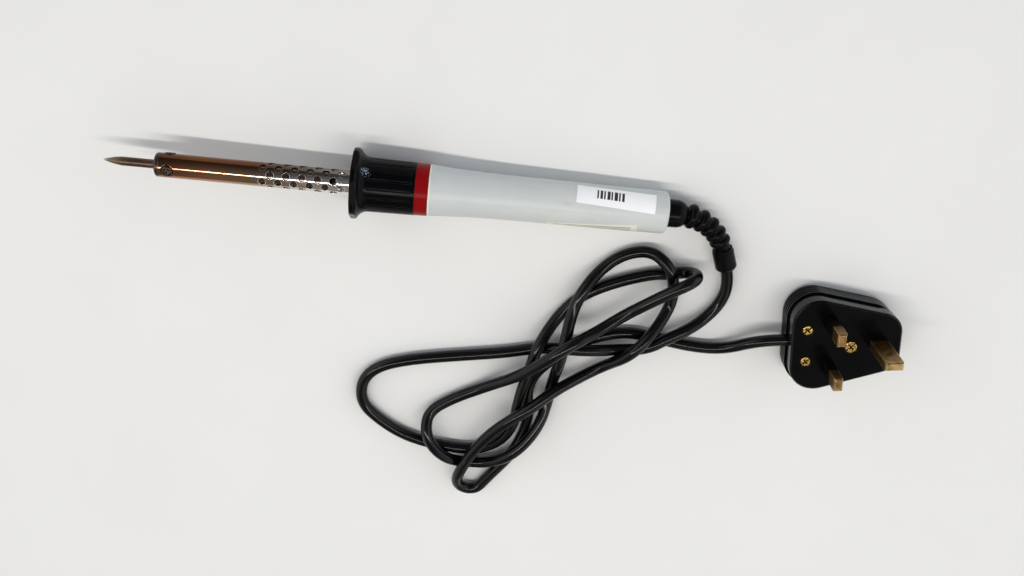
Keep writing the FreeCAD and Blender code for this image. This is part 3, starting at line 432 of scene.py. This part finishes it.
def collar_plastic():
    """Satin black moulding with lighter edges, partly wear and partly painted edge highlight, and
    one painted bluish-white highlight in fine scratches behind the flange.
    """
    shader = Shader("collar_plastic", (0.0012, 0.0014, 0.002), 0.2, IOR=1.17)
    cloud = shader.noise(0.012, 4.0)
    # Lighter edges: partly wear, partly painted edge highlight.
    worn = shader.edge_wear_and_highlight(0.0004, 0.0012, (3, 1, 1))
    along, turn = shader.round_the_iron()
    ahead = shader.math("SUBTRACT", along, SCRATCH_GLINT_PLACE)
    beside = shader.math("MULTIPLY", shader.math("SUBTRACT", turn, SCRATCH_GLINT_ANGLE), SCRATCH_GLINT_R)
    away = shader.distance(ahead, beside)
    scratches = shader.fit(shader.noise(0.0006, 3.0, (1, 2.5, 1)), 0.52, 0.62)
    # Painted highlight: a bluish-white glint spot, broken up by real fine scratches.
    scratch_glint = shader.math("MULTIPLY", shader.fit(away, 0.0026, 0.0004), scratches)
    dark = shader.mix(worn, (0.0012, 0.0014, 0.002), (0.03, 0.031, 0.034))
    shader.drive("Base Color", shader.mix(scratch_glint, dark, (0.50, 0.58, 0.75)))
    shader.drive("Roughness", shader.fit(cloud, 0.3, 0.7, 0.16, 0.25))
    shader.relief(shader.noise(0.0004, 2.0), 0.06, 0.0001, 0.0003)
    return shader.material


def screw_steel():
    """Heat-browned steel screws, lighter on the corners of their heads: partly rubbed wear, partly
    painted edge highlight.
    """
    shader = Shader("screw_steel", (0.09, 0.065, 0.048), 0.26, metallic=1.0)
    # Lighter head corners: partly wear, partly painted edge highlight.
    bright = shader.edge_wear_and_highlight(0.0003, 0.0008)
    shader.drive("Base Color", shader.mix(bright, (0.08, 0.056, 0.042), (0.62, 0.52, 0.42)))
    shader.drive("Roughness", shader.fit(shader.noise(0.004, 3.0), 0.3, 0.7, 0.19, 0.35))
    shader.relief(shader.noise(0.0012, 4.0), 0.15, 0.00005, 0.0002)
    return shader.material


def screw_brass():
    """Bright brass screws, with painted shade down in their slots."""
    shader = Shader("brass_screw", (0.6, 0.4, 0.14), 0.2, metallic=1.0)
    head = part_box("cover_screw")[1].z
    patch = shader.noise(0.0008, 4.0)
    clean = shader.mix(shader.fit(patch, 0.35, 0.65), (0.36, 0.21, 0.05), (0.72, 0.50, 0.16))
    # Painted shade in the slots: dark from half a millimetre below the top of the head.
    slot_shade = shader.fit(shader.axis(2), head - 0.0005, head - 0.0002)
    shader.drive("Base Color", shader.mix(slot_shade, (0.03, 0.018, 0.008), clean))
    shader.drive("Roughness", shader.fit(patch, 0.3, 0.7, 0.16, 0.34))
    shader.relief(patch, 0.3, 0.0001, 0.0002)
    return shader.material


def plug_face_plastic():
    """Black pin face, its steep sides painted faintly green-grey as a painted reflection."""
    shader = Shader("plug_plastic", (0.0015, 0.0015, 0.0017), 0.14, IOR=1.26)
    geometry = shader.node("ShaderNodeNewGeometry")
    parts = shader.node("ShaderNodeSeparateXYZ")
    shader.link(geometry.outputs["True Normal"], parts.inputs[0])
    # Painted reflection: the steep sides get a lighter greenish colour.
    side = shader.fit(shader.math("ABSOLUTE", parts.outputs[2]), 0.5, 0.1)
    cloud = shader.noise(0.012, 4.0)
    shader.drive("Base Color", shader.mix(side, (0.0015, 0.0015, 0.0017), (0.008, 0.0105, 0.0115)))
    shader.drive("Roughness", shader.fit(cloud, 0.3, 0.7, 0.10, 0.17))
    shader.relief(shader.noise(0.0004, 2.0), 0.04, 0.0001, 0.0003)
    return shader.material


def label_material(name, colour, node, placing, marks):
    """Film label wrapped on the grip, its marks laid out in its own length and width."""
    shader = Shader(name, colour, 0.45)
    angle, slant = placing
    along, turn = shader.round_the_iron()
    middle = (sum(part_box(node), Vector()) / 2 - AXIS_POINT).dot(IRON_AXIS)
    along = shader.math("SUBTRACT", along, middle)
    across = shader.math("MULTIPLY", shader.math("SUBTRACT", turn, math.radians(angle)), -GRIP_R)
    tilt = math.radians(slant)
    length = shader.math("ADD", shader.math("MULTIPLY", along, math.cos(tilt)),
                         shader.math("MULTIPLY", across, math.sin(tilt)))
    width = shader.math("SUBTRACT", shader.math("MULTIPLY", across, math.cos(tilt)),
                        shader.math("MULTIPLY", along, math.sin(tilt)))
    ink = marks(shader, length, width)
    stain = shader.noise(0.006, 4.0)
    tone = shader.mix(stain, tuple(c * 0.93 for c in colour), colour)
    shader.drive("Base Color", shader.mix(ink, tone, (0.02, 0.02, 0.024)))
    shader.relief(shader.noise(0.001, 2.0), 0.05, 0.0001)
    return shader.material


def bar(shader, value, centre, half):
    """1 within half of centre, falling off over a tenth of a millimetre."""
    away = shader.math("ABSOLUTE", shader.math("SUBTRACT", value, centre))
    return shader.fit(away, half + 0.0001, half)


def bar_code(shader, length, width):
    """A short row of upright bars, thick and thin."""
    row = bar(shader, width, -0.0007, 0.0021)
    ink = 0.0
    for place, half in ((-0.0029, 0.0005), (-0.0013, 0.0003), (0.0003, 0.0007), (0.0021, 0.0003),
                        (0.0035, 0.0006), (0.0053, 0.0003), (0.0067, 0.0005), (0.0083, 0.0003)):
        ink = shader.math("MAXIMUM", bar(shader, length, place, half), ink)
    return shader.math("MULTIPLY", ink, row)


def ruled_lines(shader, length, width):
    """Fine rules of unequal length where a data label has its print."""
    ink = 0.0
    for place, middle, half in ((-0.0046, 0.0, 0.0172), (-0.0031, -0.0035, 0.0137),
                                (-0.0016, -0.0014, 0.0158), (-0.0001, -0.0062, 0.011),
                                (0.0014, -0.0008, 0.0164), (0.0029, -0.0044, 0.0128),
                                (0.0044, -0.0082, 0.009)):
        rule = shader.math("MULTIPLY", bar(shader, width, place, 0.00022),
                           bar(shader, length, middle, half))
        ink = shader.math("MAXIMUM", rule, ink)
    return shader.math("MULTIPLY", ink, 0.7)


def paint_nodes():
    """Gives every CAD node its material."""
    black = collar_plastic()
    face = plug_face_plastic()
    cover = moulded_plastic("plug_cover_plastic", (0.0018, 0.0022, 0.0026), 0.18, IOR=1.15)
    ring = moulded_plastic("ring_plastic", (0.235, 0.0035, 0.0045), 0.3, edge=0.0002, IOR=1.17)
    sleeve = moulded_plastic("sleeve_plastic", (0.003, 0.0025, 0.002), 0.35, IOR=1.25)
    fibre = moulded_plastic("clamp_fibre", (0.16, 0.09, 0.045), 0.7)
    insulation = moulded_plastic("core_insulation", (0.12, 0.06, 0.03), 0.4)
    ceramic = moulded_plastic("ceramic_white", (0.72, 0.68, 0.6), 0.55)
    mica = worn_metal("mica", (0.16, 0.12, 0.098), 0.12, edge=0.0)
    glaze = moulded_plastic("fuse_body", (0.25, 0.12, 0.06), 0.25)
    nose = worn_metal("nose_steel", (0.085, 0.06, 0.048), 0.3)
    screw = screw_steel()
    steel = worn_metal("plain_steel", (0.5, 0.5, 0.49), 0.35)
    wire = worn_metal("heater_wire", (0.36, 0.33, 0.3), 0.4)
    brass = screw_brass()
    pins = pin_brass()
    sheath = cord_pvc()
    white = label_material("label_white", (0.97, 0.965, 0.985), "asset_label", WHITE_LABEL,
                           bar_code)
    cream = label_material("label_cream", (0.80, 0.79, 0.67), "rating_label", CREAM_LABEL,
                           ruled_lines)
    finish = {
        "soldering_bit": bit_metal(), "barrel": barrel_steel(), "barrel_nose": nose,
        "clamp_screw_a": screw, "clamp_screw_b": screw, "clamp_screw_c": screw,
        "heater_former": ceramic, "heater_winding": wire, "mica_sleeve": mica,
        "rear_insulator": ceramic, "heater_leads": wire, "earth_lead": steel,
        "barrel_flange": steel, "flange_screws": steel, "front_collar": black,
        "red_ring": ring, "handle_shell": handle_plastic(), "asset_label": white,
        "rating_label": cream, "terminal_block": ceramic, "terminal_screws": brass,
        "cord_clamp": fibre, "cord_clamp_screws": steel, "core_wires": insulation,
        "cord_inner": sheath, "strain_relief": rubber(), "cord": sheath,
        "plug_base": face, "plug_cover": cover, "live_pin": pins, "neutral_pin": pins,
        "earth_pin": pins, "live_pin_sleeve": sleeve, "neutral_pin_sleeve": sleeve,
        "fuse": glaze, "fuse_clips": brass, "pin_terminals": brass, "plug_wires": insulation,
        "grip_bar": fibre, "grip_screws": brass, "cover_screw": brass, "plug_tail": sheath,
    }
    for name, material in finish.items():
        slots = nodes[name].data.materials
        slots.clear()
        slots.append(material)


# ---- the lead ----
def lead():
    """The free lead: one smooth curve through the route, as thick as the real sheath."""
    curve = bpy.data.curves.new("lead", "CURVE")
    curve.dimensions = "3D"
    curve.resolution_u = 12
    curve.bevel_depth = CORD_D / 2
    curve.bevel_resolution = 6
    curve.use_fill_caps = True
    spline = curve.splines.new("NURBS")
    spline.points.add(len(ROUTE) - 1)
    for point, place in zip(spline.points, ROUTE):
        point.co = (*place, 1.0)
    spline.order_u = 3
    spline.use_endpoint_u = True
    piece = bpy.data.objects.new("lead", curve)
    scene.collection.objects.link(piece)
    piece.data.materials.append(nodes["cord_inner"].data.materials[0])
    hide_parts("cord")
    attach(piece, "iron")
    return piece


# ---- studio ----
def camera():
    """Looks down on the bench from beyond the iron, nearly upside down."""
    target = Vector((-0.0587, 0.0483, 0.0))
    distance = 0.4686
    azimuth = math.radians(3.3)
    elevation = math.radians(66.64)
    roll = math.radians(-177.0)
    back = Vector((math.sin(azimuth) * math.cos(elevation),
                   -math.cos(azimuth) * math.cos(elevation), math.sin(elevation)))
    level = Vector((math.cos(azimuth), math.sin(azimuth), 0.0))
    above = back.cross(level)
    right = level * math.cos(roll) + above * math.sin(roll)
    up = back.cross(right)
    data = bpy.data.cameras.new("camera")
    data.lens = 34.85
    data.sensor_width = 36.0
    data.clip_start = 0.01
    data.clip_end = 20.0
    seen = bpy.data.objects.new("camera", data)
    turn = Matrix((right, up, back)).transposed().to_4x4()
    seen.matrix_world = Matrix.Translation(target + back * distance) @ turn
    scene.collection.objects.link(seen)
    scene.camera = seen


def area_light(name, place, target, size, power, colour):
    data = bpy.data.lights.new(name, "AREA")
    data.shape = "RECTANGLE"
    data.size, data.size_y = size
    data.energy = power
    data.color = colour
    lamp = bpy.data.objects.new(name, data)
    lamp.location = place
    lamp.rotation_euler = (Vector(target) - Vector(place)).to_track_quat("-Z", "Y").to_euler()
    scene.collection.objects.link(lamp)


def floor():
    """Large pale bench top with faint mottling."""
    mesh = bpy.data.meshes.new("bench")
    half = 3.0
    corners = [(-half, -half, 0), (half, -half, 0), (half, half, 0), (-half, half, 0)]
    mesh.from_pydata(corners, [], [(0, 1, 2, 3)])
    bench = bpy.data.objects.new("bench", mesh)
    scene.collection.objects.link(bench)
    shader = Shader("bench", (0.78, 0.78, 0.77), 0.6)
    cloud = shader.noise(0.05, 3.0)
    shader.drive("Base Color", shader.mix(cloud, (0.76, 0.76, 0.755), (0.80, 0.80, 0.79)))
    mesh.materials.append(shader.material)


def surroundings():
    """Room light: bright at both ends of the bench, dim across it, cool behind the camera."""
    world = bpy.data.worlds.new("studio")
    world.use_nodes = True
    scene.world = world
    tree = world.node_tree
    where = tree.nodes.new("ShaderNodeTexCoord")
    parts = tree.nodes.new("ShaderNodeSeparateXYZ")
    tree.links.new(where.outputs["Generated"], parts.inputs[0])
    aside = tree.nodes.new("ShaderNodeMath")
    aside.operation = "ABSOLUTE"
    tree.links.new(parts.outputs["X"], aside.inputs[0])

    def blend(source, low, high, dark, bright):
        spread = tree.nodes.new("ShaderNodeMapRange")
        spread.inputs["From Min"].default_value = low
        spread.inputs["From Max"].default_value = high
        tree.links.new(source, spread.inputs["Value"])
        mixer = tree.nodes.new("ShaderNodeMix")
        mixer.data_type = "RGBA"
        tree.links.new(spread.outputs["Result"], mixer.inputs[0])
        for socket, value in ((mixer.inputs[6], dark), (mixer.inputs[7], bright)):
            if isinstance(value, tuple):
                socket.default_value = (*value, 1.0)
            else:
                tree.links.new(value, socket)
        return mixer.outputs[2]

    across = blend(parts.outputs["Y"], -0.8, 0.8, (0.17, 0.185, 0.205), (0.25, 0.235, 0.22))
    ends = blend(parts.outputs["Y"], -0.8, 0.8, (1.50, 1.60, 1.74), (1.02, 0.96, 0.88))
    light = blend(aside.outputs[0], 0.38, 0.75, across, ends)
    tree.links.new(light, tree.nodes["Background"].inputs["Color"])
    tree.nodes["Background"].inputs["Strength"].default_value = 1.0


def studio():
    scene.view_settings.view_transform = "Standard"
    area_light("ceiling_strip", place=(0.0, 0.22, 1.3), target=(0.0, 0.0, 0.0),
               size=(1.9, 0.065), power=10.5, colour=(1.0, 0.97, 0.92))
    area_light("window", place=(-0.7, 1.1, 1.0), target=(-0.05, 0.05, 0.0),
               size=(0.9, 0.7), power=1.2, colour=(1.0, 0.97, 0.93))
    floor()
    surroundings()


camera()
paint_nodes()
cord_piece = lead()
studio()
